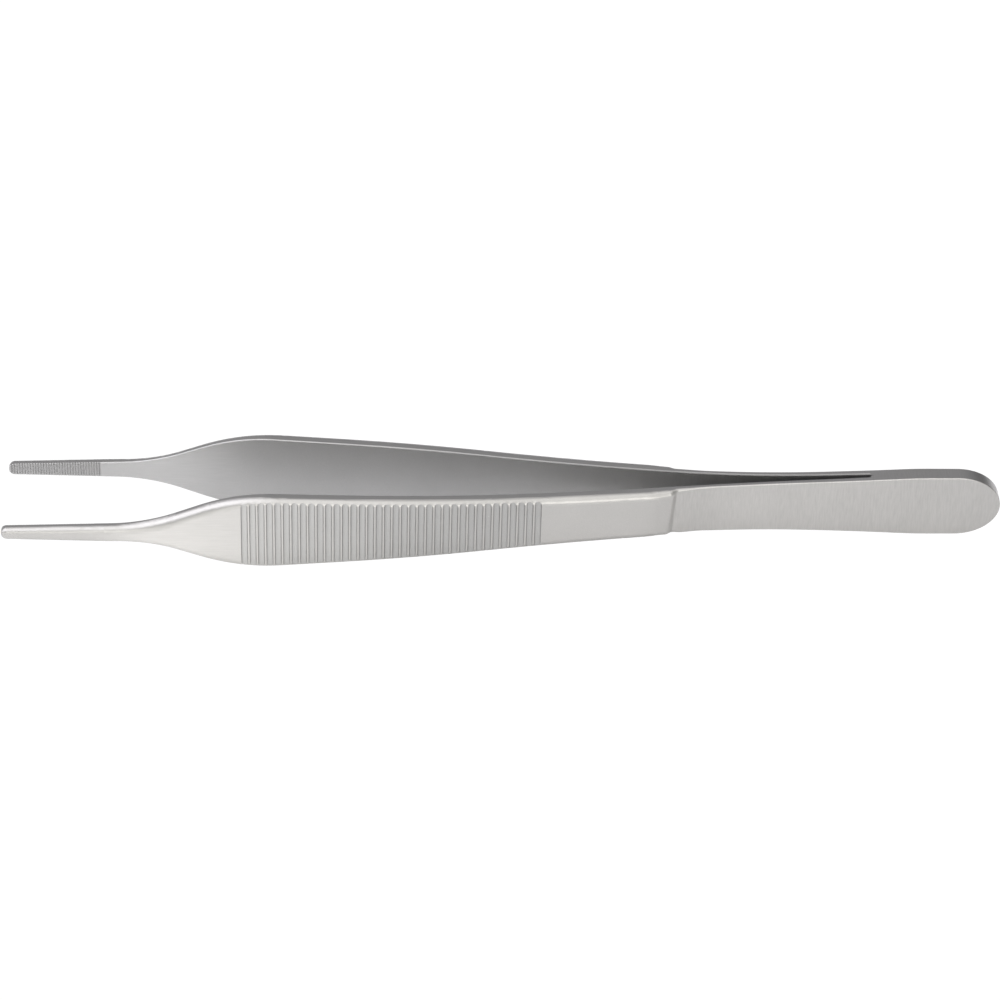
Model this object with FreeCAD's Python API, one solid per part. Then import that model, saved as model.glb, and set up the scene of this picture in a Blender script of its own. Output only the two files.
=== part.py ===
import FreeCAD, Part
import math
import os

# Thumb forceps lying on the side edges of their two arms. X runs along the instrument from the jaw
# tips at -X to the closed end at +X, Y is the way the arms open and Z is the width of the arms.
# The origin is under the middle of the instrument, level with its lowest edge. All sizes are in mm.

# Overall size, and stations measured along the instrument from the jaw tips
overall_length = 120.0
neck_station = 17.3
shoulder_station = 27.8
neck_bend_station = 13.6
jaw_end_station = 13.0
grip_full_station = 33.0

# Lengths measured back from the closed end: the butt as far as the slot, the spring as far as the
# foot of the grip's step, and where the outline and the bends have their corners
butt_length = 16.2
spring_length = 39.55
butt_round_length = 5.3
widest_from_end = 10.2
spring_curve_from_end = 27.9
spring_bend_from_end = 32.0
waist_from_end = 37.8
grip_bend_from_end = 70.7

# Outline of an arm: its width at each corner of the outline, before the corner is rounded
tip_width = 1.52
neck_width = 2.38
shoulder_width = 10.2
waist_width = 5.2
butt_width = 8.17

# Corner radii of that outline
tip_radius = 0.72
neck_radius = 22.6
shoulder_radius = 22.2
waist_radius = 500.0
butt_radius = 60.0

# Bends of an arm: half the gap between the inner faces where the straight stretches would meet
half_gap_jaws = 6.33
half_gap_grip = 5.04
half_gap_spring = 0.65
half_gap_slot = 0.31
neck_bend_radius = 60.0
grip_bend_radius = 230.0
spring_bend_radius = 200.0

# Thickness of an arm at its tip, behind the jaw, along the grip, at the step's foot, where the hollow
# behind it fades out, along the spring, at the slot's end and at the closed end
tip_thickness = 1.2
jaw_thickness = 1.3
grip_thickness = 1.68
foot_thickness = 0.9
fade_thickness = 0.66
spring_thickness = 0.67
spring_end_thickness = 0.82
butt_end_thickness = 1.05

# Step on the outer face, where the thick grip drops to the thin spring: a shallow ramp, a short steep
# slope, and a hollow that fades out along the spring. It runs across the arm at a slant, in degrees.
ramp_length = 2.2
ramp_drop = 0.3
ramp_radius = 8.0
step_length = 0.55
step_slant = 5.0
step_top_radius = 0.8
step_foot_radius = 0.5
fade_length = 3.55
fade_radius = 30.0
spring_curve_radius = 190.0

# Notch that the weld seam leaves at the end of the slot between the arms
seam_notch_length = 0.4
seam_notch_half_height = 0.07

# Rounded edges. The outer one is roundest along the neck and nearly sharp on the spring: its radius
# changes evenly from one of these stations to the next.
tip_edge_radius = 0.68
jaw_edge_radius = 0.8
neck_edge_radius = 1.12
grip_edge_radius = 0.85
step_edge_radius = 0.55
foot_edge_radius = 0.32
neck_edge_start_station = 20.5
neck_edge_end_station = 27.0
spring_edge_radius = 0.12
inner_edge_radius = 0.14

# Cross grooves on the outer face of the grip
groove_count = 36
groove_pitch = 1.0
groove_width = 0.8
groove_depth = 0.2
first_groove_station = 28.9

# Cross serrations on the inner face of the jaw, with crests a little below the face
serration_start = 0.18
serration_count = 34
serration_pitch = 0.322
serration_depth = 0.14
serration_crest_drop = 0.02

# Room by which the trimming and cutting solids pass beyond the arm
clear = 5.0

# Share of a straight stretch that the arcs at its two ends may take up
arc_share = 0.98

slot_end_station = overall_length - butt_length
spring_bend_station = overall_length - spring_bend_from_end
waist_station = overall_length - waist_from_end
widest_station = overall_length - widest_from_end
foot_station = overall_length - spring_length
step_station = foot_station - step_length
ramp_station = step_station - ramp_length
fade_station = foot_station + fade_length
spring_curve_station = overall_length - spring_curve_from_end
grip_bend_station = overall_length - grip_bend_from_end


def at(station, offset):
    """Point in the XY plane at this distance from the tips and from the middle plane."""
    return FreeCAD.Vector(station - overall_length / 2, offset, 0)


def arc_reaches(points, corners):
    """How far the arc at each corner reaches along the straight stretches on its two sides.

    Where two arcs need more than the stretch between them, both are made smaller.
    """
    reaches = [0.0] * len(points)
    for i in range(1, len(points) - 1):
        angle = (points[i - 1] - points[i]).getAngle(points[i + 1] - points[i])
        reaches[i] = corners[i][2] / math.tan(angle / 2)
    for i in range(len(points) - 1):
        room = arc_share * points[i].distanceToPoint(points[i + 1])
        taken = reaches[i] + reaches[i + 1]
        if taken > room:
            reaches[i] *= room / taken
            reaches[i + 1] *= room / taken
    return reaches


def rounded_chain(corners):
    """Edges through (station, offset, radius) corners, with an arc where a corner has a radius."""
    points = [at(station, offset) for station, offset, radius in corners]
    reaches = arc_reaches(points, corners)
    edges = []
    start = points[0]
    for i in range(1, len(points) - 1):
        corner = points[i]
        if not reaches[i]:
            edges.append(Part.LineSegment(start, corner).toShape())
            start = corner
            continue
        back = (points[i - 1] - corner).normalize()
        ahead = (points[i + 1] - corner).normalize()
        half_angle = back.getAngle(ahead) / 2
        arc_start = corner + back * reaches[i]
        arc_end = corner + ahead * reaches[i]
        depth = reaches[i] / math.cos(half_angle) - reaches[i] * math.tan(half_angle)
        arc_middle = corner + (back + ahead).normalize() * depth
        edges.append(Part.LineSegment(start, arc_start).toShape())
        edges.append(Part.Arc(arc_start, arc_middle, arc_end).toShape())
        start = arc_end
    edges.append(Part.LineSegment(start, points[-1]).toShape())
    return edges


def level(corners, station):
    """Offset at a station, along the straight lines between the corners."""
    for (s0, y0, r0), (s1, y1, r1) in zip(corners, corners[1:]):
        if s0 <= station <= s1:
            return y0 + (y1 - y0) * (station - s0) / (s1 - s0)
    return corners[-1][1]


def prism(edges, half_height, lean=0.0):
    """Solid over a closed outline in the XY plane, to the same height above and below it.

    With a lean, in degrees, its top is shifted towards +X and its bottom towards -X.
    """
    rise = FreeCAD.Vector(math.tan(math.radians(lean)) * half_height, 0, half_height)
    face = Part.Face(Part.Wire(edges))
    face.translate(-rise)
    return face.extrude(2 * rise)


def cutter_half_height():
    """Half the height of a solid that passes right across the widest part of an arm."""
    return max(shoulder_width, butt_width) / 2 + clear


def top_level():
    """A level beyond the outer face of an arm."""
    return half_gap_jaws + grip_thickness + clear


def half_outline():
    """One side of an arm's outline, from the middle of its tip to the middle of its closed end."""
    round_start = overall_length - butt_round_length
    edges = rounded_chain([
        (0, 0, 0),
        (0, tip_width / 2, tip_radius),
        (neck_station, neck_width / 2, neck_radius),
        (shoulder_station, shoulder_width / 2, shoulder_radius),
        (waist_station, waist_width / 2, waist_radius),
        (widest_station, butt_width / 2, butt_radius),
        (round_start, butt_width / 2, 0),
    ])
    ellipse = Part.Ellipse(at(round_start, 0), butt_round_length, butt_width / 2)
    edges.append(Part.ArcOfEllipse(ellipse, 0, math.pi / 2).toShape())
    return edges


def plan_solid():
    """The outline of an arm seen along Y, as a solid that runs through its whole thickness."""
    across = FreeCAD.Vector(0, 1, 0)
    other_half = [edge.mirror(FreeCAD.Vector(), across) for edge in half_outline()]
    outline = Part.Wire(Part.__sortEdges__(half_outline() + other_half))
    solid = Part.Face(outline).extrude(FreeCAD.Vector(0, 0, top_level() + clear))
    solid.translate(FreeCAD.Vector(0, 0, -clear))
    solid.rotate(FreeCAD.Vector(), FreeCAD.Vector(1, 0, 0), -90)
    return solid


def inner_corners():
    """Inner face of an arm, from beyond its tip to the end of the slot."""
    return [
        (-clear, half_gap_jaws, 0),
        (neck_bend_station, half_gap_jaws, neck_bend_radius),
        (grip_bend_station, half_gap_grip, grip_bend_radius),
        (spring_bend_station, half_gap_spring, spring_bend_radius),
        (slot_end_station, half_gap_slot, 0),
    ]


def outer_corners():
    """Outer face of an arm: jaw, grip, the step down to the thin spring, and the butt."""
    jaw_taper = (jaw_thickness - tip_thickness) / jaw_end_station
    butt_level = half_gap_slot + spring_end_thickness
    butt_taper = (butt_level - butt_end_thickness) / (overall_length - slot_end_station)
    corners = [(-clear, half_gap_jaws + tip_thickness - jaw_taper * clear, 0)]
    for station, thickness, radius in [
        (jaw_end_station, jaw_thickness, neck_bend_radius),
        (grip_full_station, grip_thickness, neck_bend_radius),
        (grip_bend_station, grip_thickness, grip_bend_radius + grip_thickness),
        (ramp_station, grip_thickness, ramp_radius),
        (step_station, grip_thickness - ramp_drop, step_top_radius),
        (foot_station, foot_thickness, step_foot_radius),
        (fade_station, fade_thickness, fade_radius),
        (spring_curve_station, spring_thickness, spring_curve_radius),
    ]:
        corners.append((station, level(inner_corners(), station) + thickness, radius))
    corners.append((slot_end_station, butt_level, butt_radius))
    corners.append((overall_length + clear, butt_end_thickness - butt_taper * clear, 0))
    return corners


def profile_solid():
    """Side profile of an arm, with the pad that fills the butt, run across it at the step's slant."""
    outer = list(reversed(outer_corners()))
    pad = [
        (slot_end_station, seam_notch_half_height, 0),
        (slot_end_station + seam_notch_length, 0, 0),
        (overall_length + clear, 0, 0),
    ]
    outline = inner_corners() + pad + outer + inner_corners()[:1]
    return prism(rounded_chain(outline), cutter_half_height(), step_slant)


def groove_cutters():
    """Bars of elliptical section across the grip, sunk to half their depth into its outer face."""
    face_line = Part.Wire(rounded_chain(outer_corners()))
    bars = []
    for i in range(groove_count):
        station = first_groove_station + i * groove_pitch
        plumb = Part.LineSegment(at(station, 0), at(station, top_level())).toShape()
        surface = plumb.distToShape(face_line)[1][0][0]
        section = Part.Ellipse(surface, groove_width / 2, groove_depth).toShape()
        bars.append(prism([section], cutter_half_height()))
    return Part.makeCompound(bars)


def serration_cutter():
    """Zigzag bar across the jaw, sunk into its inner face."""
    crest = half_gap_jaws + serration_crest_drop
    valley = half_gap_jaws + serration_depth
    end = serration_start + serration_count * serration_pitch
    outline = [(end, half_gap_jaws - clear, 0), (serration_start, half_gap_jaws - clear, 0)]
    for i in range(serration_count):
        tooth_start = serration_start + i * serration_pitch
        outline.append((tooth_start, crest, 0))
        outline.append((tooth_start + serration_pitch / 2, valley, 0))
    outline += [(end, crest, 0), outline[0]]
    return prism(rounded_chain(outline), cutter_half_height())


def facing(face):
    """Whether a face looks out, away from the other arm, in towards it, or to the side."""
    u0, u1, v0, v1 = face.ParameterRange
    direction = face.normalAt((u0 + u1) / 2, (v0 + v1) / 2).y
    if abs(direction) < 0.3:
        return "side"
    return "out" if direction > 0 else "in"


def rim(shape, way, first_station, last_station):
    """Edges between the faces that look this way and the side faces, within these stations."""
    edges = []
    for edge in shape.Edges:
        ways = sorted(facing(face) for face in shape.ancestorsOfType(edge, Part.Face))
        inside = edge.BoundBox.XMin > at(first_station, 0).x and edge.BoundBox.XMax < at(last_station, 0).x
        if inside and ways == sorted([way, "side"]):
            edges.append(edge)
    return edges


def outer_edge_radius(point):
    """Radius of the outer edge's rounding at a point on that edge."""
    return level([
        (0, tip_edge_radius, 0),
        (jaw_end_station, jaw_edge_radius, 0),
        (neck_edge_start_station, neck_edge_radius, 0),
        (neck_edge_end_station, neck_edge_radius, 0),
        (grip_full_station, grip_edge_radius, 0),
        (ramp_station, grip_edge_radius, 0),
        (step_station, step_edge_radius, 0),
        (foot_station, foot_edge_radius, 0),
        (fade_station, spring_edge_radius, 0),
        (overall_length, spring_edge_radius, 0),
    ], point.x + overall_length / 2)


def round_outer_edges(arm):
    """The arm with its outer edges rounded by a radius that changes along them."""
    outer_rim = rim(arm, "out", -clear, overall_length + clear)
    rounded = []
    for number, edge in enumerate(arm.Edges, 1):
        if not any(edge.isSame(rim_edge) for rim_edge in outer_rim):
            continue
        start = edge.valueAt(edge.FirstParameter)
        end = edge.valueAt(edge.LastParameter)
        # The fillet goes round the arm, towards -X where Z is positive and towards +X where it isn't
        against = (end.x - start.x) * edge.CenterOfMass.z
        if against > 0:
            start, end = end, start
        rounded.append((against, number, outer_edge_radius(start), outer_edge_radius(end)))
    # It takes its direction from the first edge, so the list starts with one that runs that way
    rounded.sort()
    document = FreeCAD.newDocument()
    blank = document.addObject("Part::Feature")
    blank.Shape = arm
    fillet = document.addObject("Part::Fillet")
    fillet.Base = blank
    fillet.Edges = [(number, first, last) for against, number, first, last in rounded]
    document.recompute()
    return fillet.Shape


def make_arm():
    """The arm on the +Y side, with the middle of its width at the origin's level."""
    arm = plan_solid().common(profile_solid()).Solids[0]
    arm = arm.makeFillet(inner_edge_radius, rim(arm, "in", -clear, spring_bend_station))
    arm = round_outer_edges(arm)
    arm = arm.cut(groove_cutters())
    arm = arm.cut(serration_cutter())
    return arm.Solids[0]


# The two arms are alike, face each other and are welded face to face in the butt
right_arm = make_arm()
left_arm = right_arm.mirror(FreeCAD.Vector(), FreeCAD.Vector(0, 1, 0))
half_width = Part.Compound(half_outline()).optimalBoundingBox(False, False).YMax

os.makedirs("parts", exist_ok=True)
for name, arm in (("left_arm", left_arm), ("right_arm", right_arm)):
    arm.translate(FreeCAD.Vector(0, 0, half_width))
    arm.exportStep("parts/" + name + ".step")
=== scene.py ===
import bpy
import bmesh
import math
from mathutils import Matrix, Vector


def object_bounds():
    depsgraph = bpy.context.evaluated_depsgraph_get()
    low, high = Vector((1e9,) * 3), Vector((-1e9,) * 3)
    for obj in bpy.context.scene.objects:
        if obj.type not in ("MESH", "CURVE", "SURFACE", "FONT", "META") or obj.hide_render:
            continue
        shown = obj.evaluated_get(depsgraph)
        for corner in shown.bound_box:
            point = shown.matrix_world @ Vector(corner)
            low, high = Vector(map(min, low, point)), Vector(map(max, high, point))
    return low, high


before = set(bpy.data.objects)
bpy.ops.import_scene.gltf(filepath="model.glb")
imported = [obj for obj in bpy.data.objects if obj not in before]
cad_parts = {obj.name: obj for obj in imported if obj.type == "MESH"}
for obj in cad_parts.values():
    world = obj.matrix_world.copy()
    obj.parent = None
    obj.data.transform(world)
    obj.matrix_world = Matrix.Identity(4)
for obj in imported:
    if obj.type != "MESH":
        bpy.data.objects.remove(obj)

mm = 0.001
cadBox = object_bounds()
scene = bpy.context.scene
print("frame loaded")


def hexToLinear(code):
    # sRGB hex, such as "c8c5be", to linear RGBA
    channels = [int(code[i:i + 2], 16) / 255 for i in (0, 2, 4)]
    linear = [c / 12.92 if c <= 0.04045 else ((c + 0.055) / 1.055) ** 2.4 for c in channels]
    return (*linear, 1.0)


def addNode(tree, kind, inputs=None, **settings):
    # An input that is given another node's output is linked to it, any other value is set
    node = tree.nodes.new(kind)
    for name, value in settings.items():
        setattr(node, name, value)
    for name, value in (inputs or {}).items():
        if isinstance(value, bpy.types.NodeSocket):
            tree.links.new(value, node.inputs[name])
        else:
            node.inputs[name].default_value = value
    return node


# Satin stainless steel: a neutral grey with a faint warm cast and soft reflections. The belt left
# faint lines, across the arm on the spring and the butt and lengthwise on the neck. The grooves and
# the faces that look in between the arms missed the belt, and stay a rougher and more neutral grey.
# The grooves are also a shade darker, and darker still up their walls, as painted shade in the
# recesses, and the rounded inner edges get painted shade towards the closed end.
satinSteel = {
    "color": "b1afab",
    "insideColor": "b2b1af",
    # partly the grooves' own blasted grey, partly a shade darker as painted shade in the recess
    "grooveColor": "a8a7a4",
    "roughness": 0.36,
    "blastedRoughness": 0.42,               # of the grooves and the inside faces
    "roughnessSpread": 0.05,                # how far the lines change the roughness, up and down
    "lineWidth": 0.17 * mm,
    "crossLength": 1.6 * mm,
    "neckLength": 4.0 * mm,
    "grainSize": 0.09 * mm,                 # where there are no lines
    "cloudSize": 9.0 * mm,                  # slow changes of tone from the hand polishing
    "noiseDetail": 3.0,
    "noiseRoughness": 0.6,
    "lineRange": (0.3, 0.7),                # noise levels from the deepest line to none
    "cloudRange": (0.35, 0.65),
    "lineShade": 0.1,                       # how much darker the deepest lines are
    "cloudShade": 0.04,
    "lineDepth": 0.0016 * mm,
    "cross": (20.0 * mm, 20.5 * mm),        # where the cross lines fade in, up to the closed end
    "neck": (-46.0 * mm, -43.5 * mm),       # where the lengthwise lines fade in
    "pastNeck": (-31.0 * mm, -33.5 * mm),   # and where they fade out
    "neckShare": 0.7,                       # how clear they are
    "firstGroove": -31.1 * mm,              # middle of the first groove
    "groovePitch": 1.0 * mm,
    "grooveWidth": 0.8 * mm,
    "grooveCount": 36,
    "grooveTilt": 0.06,                     # how far a groove's surface may lean up or down
    "grooveTurn": 1.05,                     # and how far the outward share of its facing may be from 1
    "grooveEdge": (0.24 * mm, 0.4 * mm),    # from its middle, where painted shade darkens a groove up its walls, down to the tone below
    "grooveWallPaintedShade": 0.66,
    "insideTurn": (-0.15, -0.6),            # outward share of the facing, from outside to inside
    "flatTurn": (-0.98, -0.9),              # and from the flat inner face to its rounded edge
    "edgeSpan": (-35.0 * mm, 20.0 * mm),    # along here painted shade darkens the rounded inner edges, more towards the closed end
    "innerEdgePaintedShade": 0.45,
}


def makeSatinSteel():
    look = satinSteel
    material = bpy.data.materials.new("satinStainlessSteel")
    material.use_nodes = True
    tree = material.node_tree
    shader = tree.nodes["Principled BSDF"]
    shader.inputs["Metallic"].default_value = 1.0
    coordinates = addNode(tree, "ShaderNodeTexCoord")
    position = coordinates.outputs["Object"]
    facing = coordinates.outputs["Normal"]
    along, sideways, _ = addNode(tree, "ShaderNodeSeparateXYZ", {0: position}).outputs
    _, facingY, facingZ = addNode(tree, "ShaderNodeSeparateXYZ", {0: facing}).outputs

    # Noise stretched into belt lines, and round noise for the grain and the clouds
    width = look["lineWidth"]
    waveSizes = {
        "cross": (width, look["crossLength"], look["crossLength"]),
        "neck": (look["neckLength"], width, width),
        "grain": (look["grainSize"],) * 3,
        "clouds": (look["cloudSize"],) * 3,
    }
    pattern = {}
    for name, size in waveSizes.items():
        waves = addNode(tree, "ShaderNodeVectorMath", {0: position, 1: size}, operation="DIVIDE")
        noise = addNode(tree, "ShaderNodeTexNoise", {
            "Vector": waves.outputs[0], "Scale": 1.0,
            "Detail": look["noiseDetail"], "Roughness": look["noiseRoughness"]})
        pattern[name] = noise.outputs["Fac"]

    # How squarely the surface looks away from the middle plane between the arms
    side = addNode(tree, "ShaderNodeMath", {0: sideways}, operation="SIGN").outputs[0]
    outward = addNode(tree, "ShaderNodeMath", {0: facingY, 1: side}, operation="MULTIPLY").outputs[0]

    # Soft masks: 0 before the first value of a setting and 1 past the second
    masks = {}
    for name, value in (("cross", along), ("neck", along), ("pastNeck", along),
                        ("insideTurn", outward), ("flatTurn", outward)):
        start, end = look[name]
        mask = addNode(tree, "ShaderNodeMapRange", {"Value": value, "From Min": start, "From Max": end},
                       interpolation_type="SMOOTHSTEP")
        masks[name] = mask.outputs["Result"]
    onNeck, onInnerEdge = (
        addNode(tree, "ShaderNodeMath", {0: masks[begin], 1: masks[end]}, operation="MULTIPLY").outputs[0]
        for begin, end in (("neck", "pastNeck"), ("insideTurn", "flatTurn")))

    # The grooves: near the middle of one, within the row, and looking straight outwards
    first, pitch, halfWidth = look["firstGroove"], look["groovePitch"], look["grooveWidth"] / 2
    halfRow = pitch * (look["grooveCount"] - 1) / 2
    fromFirst = addNode(tree, "ShaderNodeMath", {0: along, 1: first}, operation="SUBTRACT").outputs[0]
    fromMiddle = addNode(tree, "ShaderNodeMath", {
        0: fromFirst, 1: pitch / 2}, operation="PINGPONG").outputs[0]
    inGroove = 1.0
    for value, middle, reach in ((fromMiddle, 0.0, halfWidth), (fromFirst, halfRow, halfRow + halfWidth),
                                 (facingZ, 0.0, look["grooveTilt"]), (outward, 1.0, look["grooveTurn"])):
        isNear = addNode(tree, "ShaderNodeMath", {0: value, 1: middle, 2: reach}, operation="COMPARE")
        both = addNode(tree, "ShaderNodeMath", {0: inGroove, 1: isNear.outputs[0]}, operation="MULTIPLY")
        inGroove = both.outputs[0]

    # The surface: grain everywhere, with lengthwise lines on the neck and cross lines past the step
    neckShare = addNode(tree, "ShaderNodeMath", {0: onNeck, 1: look["neckShare"]}, operation="MULTIPLY")
    surface = pattern["grain"]
    for share, lines in ((neckShare.outputs[0], pattern["neck"]), (masks["cross"], pattern["cross"])):
        mixed = addNode(tree, "ShaderNodeMix", {"Factor": share, "A": surface, "B": lines})
        surface = mixed.outputs["Result"]

    # Tone: painted shade up the walls of the grooves and on the inner edges towards the closed end, then
    # darker in the belt lines and in the clouds
    tone = 1.0
    for share, value, span, darkest in ((inGroove, fromMiddle, look["grooveEdge"], look["grooveWallPaintedShade"]),
                                        (onInnerEdge, along, look["edgeSpan"], look["innerEdgePaintedShade"])):
        darker = addNode(tree, "ShaderNodeMapRange", {
            "Value": value, "From Min": span[0], "From Max": span[1], "To Min": 1.0, "To Max": darkest})
        tone = addNode(tree, "ShaderNodeMix", {
            "Factor": share, "A": tone, "B": darker.outputs["Result"]}).outputs["Result"]
    for value, span, shade in ((surface, look["lineRange"], look["lineShade"]),
                               (pattern["clouds"], look["cloudRange"], look["cloudShade"])):
        darker = addNode(tree, "ShaderNodeMapRange", {
            "Value": value, "From Min": span[0], "From Max": span[1], "To Min": 1.0 - shade, "To Max": 1.0})
        tone = addNode(tree, "ShaderNodeMath", {
            0: tone, 1: darker.outputs["Result"]}, operation="MULTIPLY").outputs[0]
    color = hexToLinear(look["color"])
    # The grooves get their blasted grey, darkened as painted shade in the recess; the inside faces get their
    # own neutral grey
    for share, other in ((inGroove, look["grooveColor"]), (masks["insideTurn"], look["insideColor"])):
        color = addNode(tree, "ShaderNodeMix", {"Factor": share, 6: color, 7: hexToLinear(other)},
                        data_type="RGBA").outputs[2]
    shaded = addNode(tree, "ShaderNodeVectorMath", {0: color, "Scale": tone}, operation="SCALE")
    tree.links.new(shaded.outputs[0], shader.inputs["Base Color"])

    # Roughness: the lines change it a little, and the grooves and the inside faces are rougher
    lineStart, lineEnd = look["lineRange"]
    polished = addNode(tree, "ShaderNodeMapRange", {
        "Value": surface, "From Min": lineStart, "From Max": lineEnd,
        "To Min": look["roughness"] + look["roughnessSpread"],
        "To Max": look["roughness"] - look["roughnessSpread"]})
    blasted = addNode(tree, "ShaderNodeMath", {0: inGroove, 1: masks["insideTurn"]}, operation="MAXIMUM")
    roughness = addNode(tree, "ShaderNodeMix", {
        "Factor": blasted.outputs[0], "A": polished.outputs["Result"], "B": look["blastedRoughness"]})
    tree.links.new(roughness.outputs["Result"], shader.inputs["Roughness"])
    relief = addNode(tree, "ShaderNodeBump", {
        "Height": surface, "Distance": look["lineDepth"], "Strength": 1.0})
    tree.links.new(relief.outputs["Normal"], shader.inputs["Normal"])
    return material


steel = makeSatinSteel()
for name in ("left_arm", "right_arm"):
    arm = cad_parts[name]
    arm.data.materials.clear()
    arm.data.materials.append(steel)
print("steel done")

# The colours of a ramp end at 1, so each level is stored as a share of the peak and is brought back
# by a strength of the same size.
peak = 4.0
plainWhite = (1.0, 1.0, 1.0)


def fillRamp(ramp, span, levels, tint=plainWhite, tintFrom=0.0):
    # levels is place: brightness, and places from tintFrom on get the tint
    elements = ramp.color_ramp.elements
    while len(elements) < len(levels):
        elements.new(0.5)    # moved to its place below
    for element, (place, level) in zip(elements, sorted(levels.items())):
        element.position = (place - span[0]) / (span[1] - span[0])
        color = tint if place >= tintFrom else plainWhite
        element.color = (*(level / peak * channel for channel in color), 1.0)


# Floor: a white table lit from below, brightest beside the neck, with a painted shadow that cuts its glow
# under the arms. The camera sees it as plain white.
floor = {
    "size": 6.0,
    "color": "f0f0f0",
    "roughness": 0.6,
    "seen": 1.05,                  # brightness that the camera sees
    "span": (-60.0, 60.0),         # mm along the arms, as are the places in glow
    "glow": {-60: 0.28, -50: 0.34, -42: 0.8, -32: 0.62, -24: 0.4, -8: 0.1,
             20: 0.1, 24: 0.0, 31: 0.1, 46: 0.08, 60: 0.0},
    "underArms": (-5.0, -9.0),     # mm across, where the painted shadow runs from under the near arm to in front of it
    "shadowedGlowShare": 0.35,             # share of the glow that is left under the arms in the painted shadow
}
mesh = bpy.data.meshes.new("table")
builder = bmesh.new()
bmesh.ops.create_grid(builder, x_segments=1, y_segments=1, size=floor["size"] / 2)
builder.to_mesh(mesh)
builder.free()
table = bpy.data.objects.new("table", mesh)
scene.collection.objects.link(table)
table.location.z = cadBox[0].z
white = bpy.data.materials.new("whiteTable")
white.use_nodes = True
tree = white.node_tree
surface = tree.nodes["Principled BSDF"]
surface.inputs["Base Color"].default_value = hexToLinear(floor["color"])
surface.inputs["Roughness"].default_value = floor["roughness"]
place = addNode(tree, "ShaderNodeTexCoord").outputs["Object"]
along, depth, _ = addNode(tree, "ShaderNodeSeparateXYZ", {0: place}).outputs
first, last = floor["span"]
share = addNode(tree, "ShaderNodeMapRange", {
    "Value": along, "From Min": first * mm, "From Max": last * mm}).outputs["Result"]
glow = addNode(tree, "ShaderNodeValToRGB", {"Fac": share})
fillRamp(glow, floor["span"], floor["glow"])
under, front = floor["underArms"]
# Painted shadow: the glow is cut down under the arms and behind them
paintedShadowFactor = addNode(tree, "ShaderNodeMapRange", {
    "Value": depth, "From Min": under * mm, "From Max": front * mm,
    "To Min": floor["shadowedGlowShare"], "To Max": 1.0}).outputs["Result"]
dimmed = addNode(tree, "ShaderNodeVectorMath", {0: glow.outputs["Color"], "Scale": paintedShadowFactor}, operation="SCALE")
tree.links.new(dimmed.outputs[0], surface.inputs["Emission Color"])
surface.inputs["Emission Strength"].default_value = peak
plain = addNode(tree, "ShaderNodeEmission", {"Strength": floor["seen"]}).outputs[0]
isSeen = addNode(tree, "ShaderNodeLightPath").outputs["Is Camera Ray"]
seen = addNode(tree, "ShaderNodeMixShader", {0: isSeen, 1: surface.outputs[0], 2: plain})
tree.links.new(seen.outputs[0], tree.nodes["Material Output"].inputs["Surface"])
mesh.materials.append(white)

# Light: a soft wrap from behind, over the top, to the front, with a darker gap low in front on the
# left. Places are degrees up from the front: 90 is overhead and 180 is behind. To the right it fades,
# so what looks towards the closed end is darker.
light = {
    "span": (0.0, 180.0),
    "right": {0: 0.8, 8: 1.4, 14: 3.6, 24: 3.6, 34: 2.0, 48: 1.8, 100: 1.7, 112: 1.1,
              126: 0.53, 140: 0.42, 180: 0.42},
    "left": {0: 1.3, 14: 1.5, 24: 1.3, 31: 0.4, 40: 0.4, 50: 1.8, 58: 2.9, 106: 2.8,
             120: 1.1, 138: 0.48, 180: 0.42},
    "tint": (0.96, 0.965, 1.03),
    "rightTintFrom": 120,
    "leftTintFrom": 50,
    # Two sideways shares of the direction, and the value up to the first and from the second on
    "leftShare": (-0.03, -0.12, 0.0, 1.0),
    "fade": (0.3, 0.6, 1.0, 0.3),
}
world = bpy.data.worlds.new("softWrap")
scene.world = world
world.use_nodes = True
sky = world.node_tree
direction = addNode(sky, "ShaderNodeTexCoord").outputs["Generated"]
sideways, depth, height = addNode(sky, "ShaderNodeSeparateXYZ", {0: direction}).outputs
forward = addNode(sky, "ShaderNodeMath", {0: depth, 1: -1.0}, operation="MULTIPLY").outputs[0]
angle = addNode(sky, "ShaderNodeMath", {0: height, 1: forward}, operation="ARCTAN2").outputs[0]
share = addNode(sky, "ShaderNodeMapRange", {"Value": angle, "From Max": math.pi}).outputs["Result"]
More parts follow.
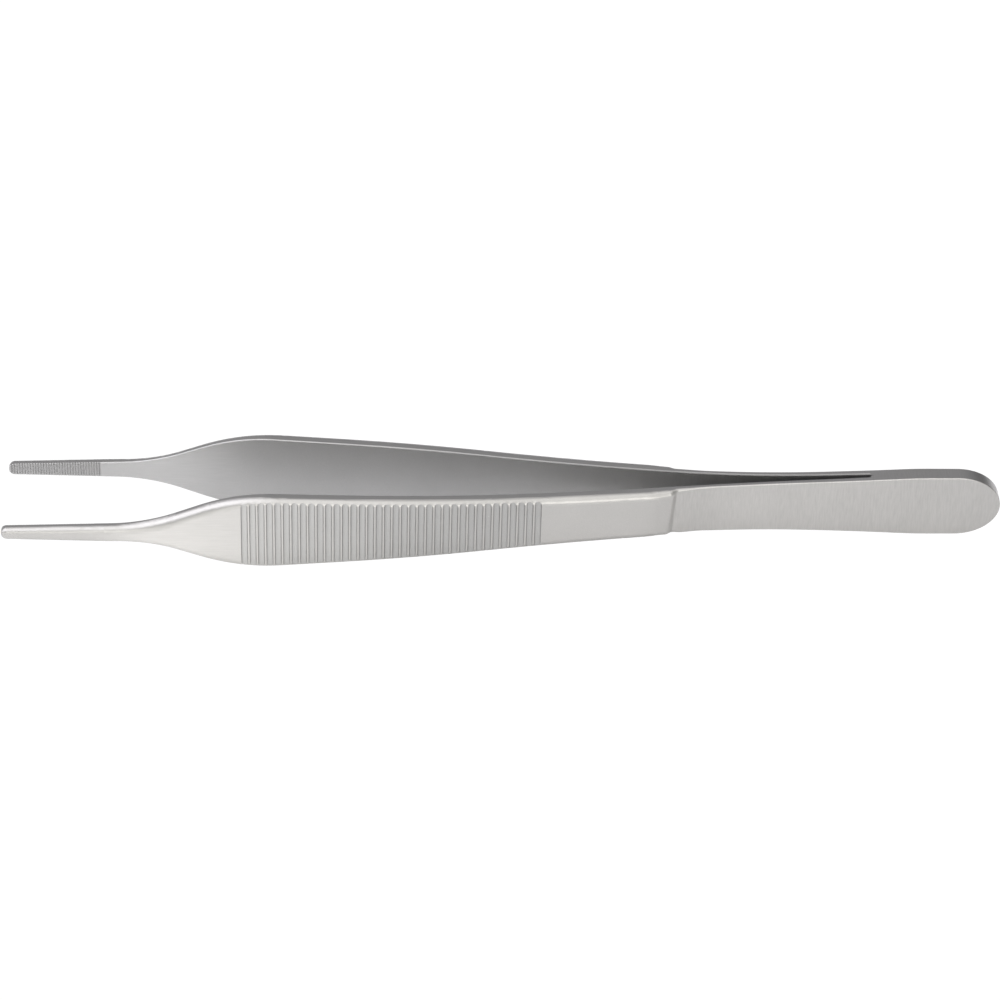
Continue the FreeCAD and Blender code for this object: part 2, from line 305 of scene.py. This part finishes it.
halves = {}
for name in ("right", "left"):
    ramp = addNode(sky, "ShaderNodeValToRGB", {"Fac": share})
    fillRamp(ramp, light["span"], light[name], light["tint"], light[name + "TintFrom"])
    halves[name] = ramp.outputs["Color"]
shares = {}
for name in ("leftShare", "fade"):
    fromStart, fromEnd, toStart, toEnd = light[name]
    turn = addNode(sky, "ShaderNodeMapRange", {
        "Value": sideways, "From Min": fromStart, "From Max": fromEnd, "To Min": toStart, "To Max": toEnd},
        interpolation_type="SMOOTHSTEP")
    shares[name] = turn.outputs["Result"]
wrap = addNode(sky, "ShaderNodeMix", {
    "Factor": shares["leftShare"], 6: halves["right"], 7: halves["left"]}, data_type="RGBA")
soft = addNode(sky, "ShaderNodeVectorMath", {0: wrap.outputs[2], "Scale": shares["fade"]}, operation="SCALE")
sky.links.new(soft.outputs[0], sky.nodes["Background"].inputs["Color"])
sky.nodes["Background"].inputs["Strength"].default_value = peak

# Camera: the photo's angle, worked out from its outlines
camera = {
    "azimuth": -2.454,
    "elevation": 35.0,
    "roll": 1.523,
    "distance": 476.63 * mm,
    "sideways": -0.496 * mm,
    "upwards": 0.042 * mm,
    "lens": 142.2,
    "sensor": 36.0,
}
centre = (cadBox[0] + cadBox[1]) / 2
azimuth, elevation, roll = (math.radians(camera[key]) for key in ("azimuth", "elevation", "roll"))
right = Vector((math.cos(azimuth), math.sin(azimuth), 0))
level = Vector((math.sin(azimuth), -math.cos(azimuth), 0))
back = level * math.cos(elevation) + Vector((0, 0, math.sin(elevation)))
right = Matrix.Rotation(roll, 3, back) @ right
up = back.cross(right)
view = bpy.data.cameras.new("camera")
view.lens = camera["lens"]
view.sensor_width = camera["sensor"]
eye = bpy.data.objects.new("camera", view)
spot = centre + right * camera["sideways"] + up * camera["upwards"] + back * camera["distance"]
eye.matrix_world = Matrix.Translation(spot) @ Matrix((right, up, back)).transposed().to_4x4()
scene.collection.objects.link(eye)
scene.camera = eye
scene.view_settings.view_transform = "Standard"
print("stage done")
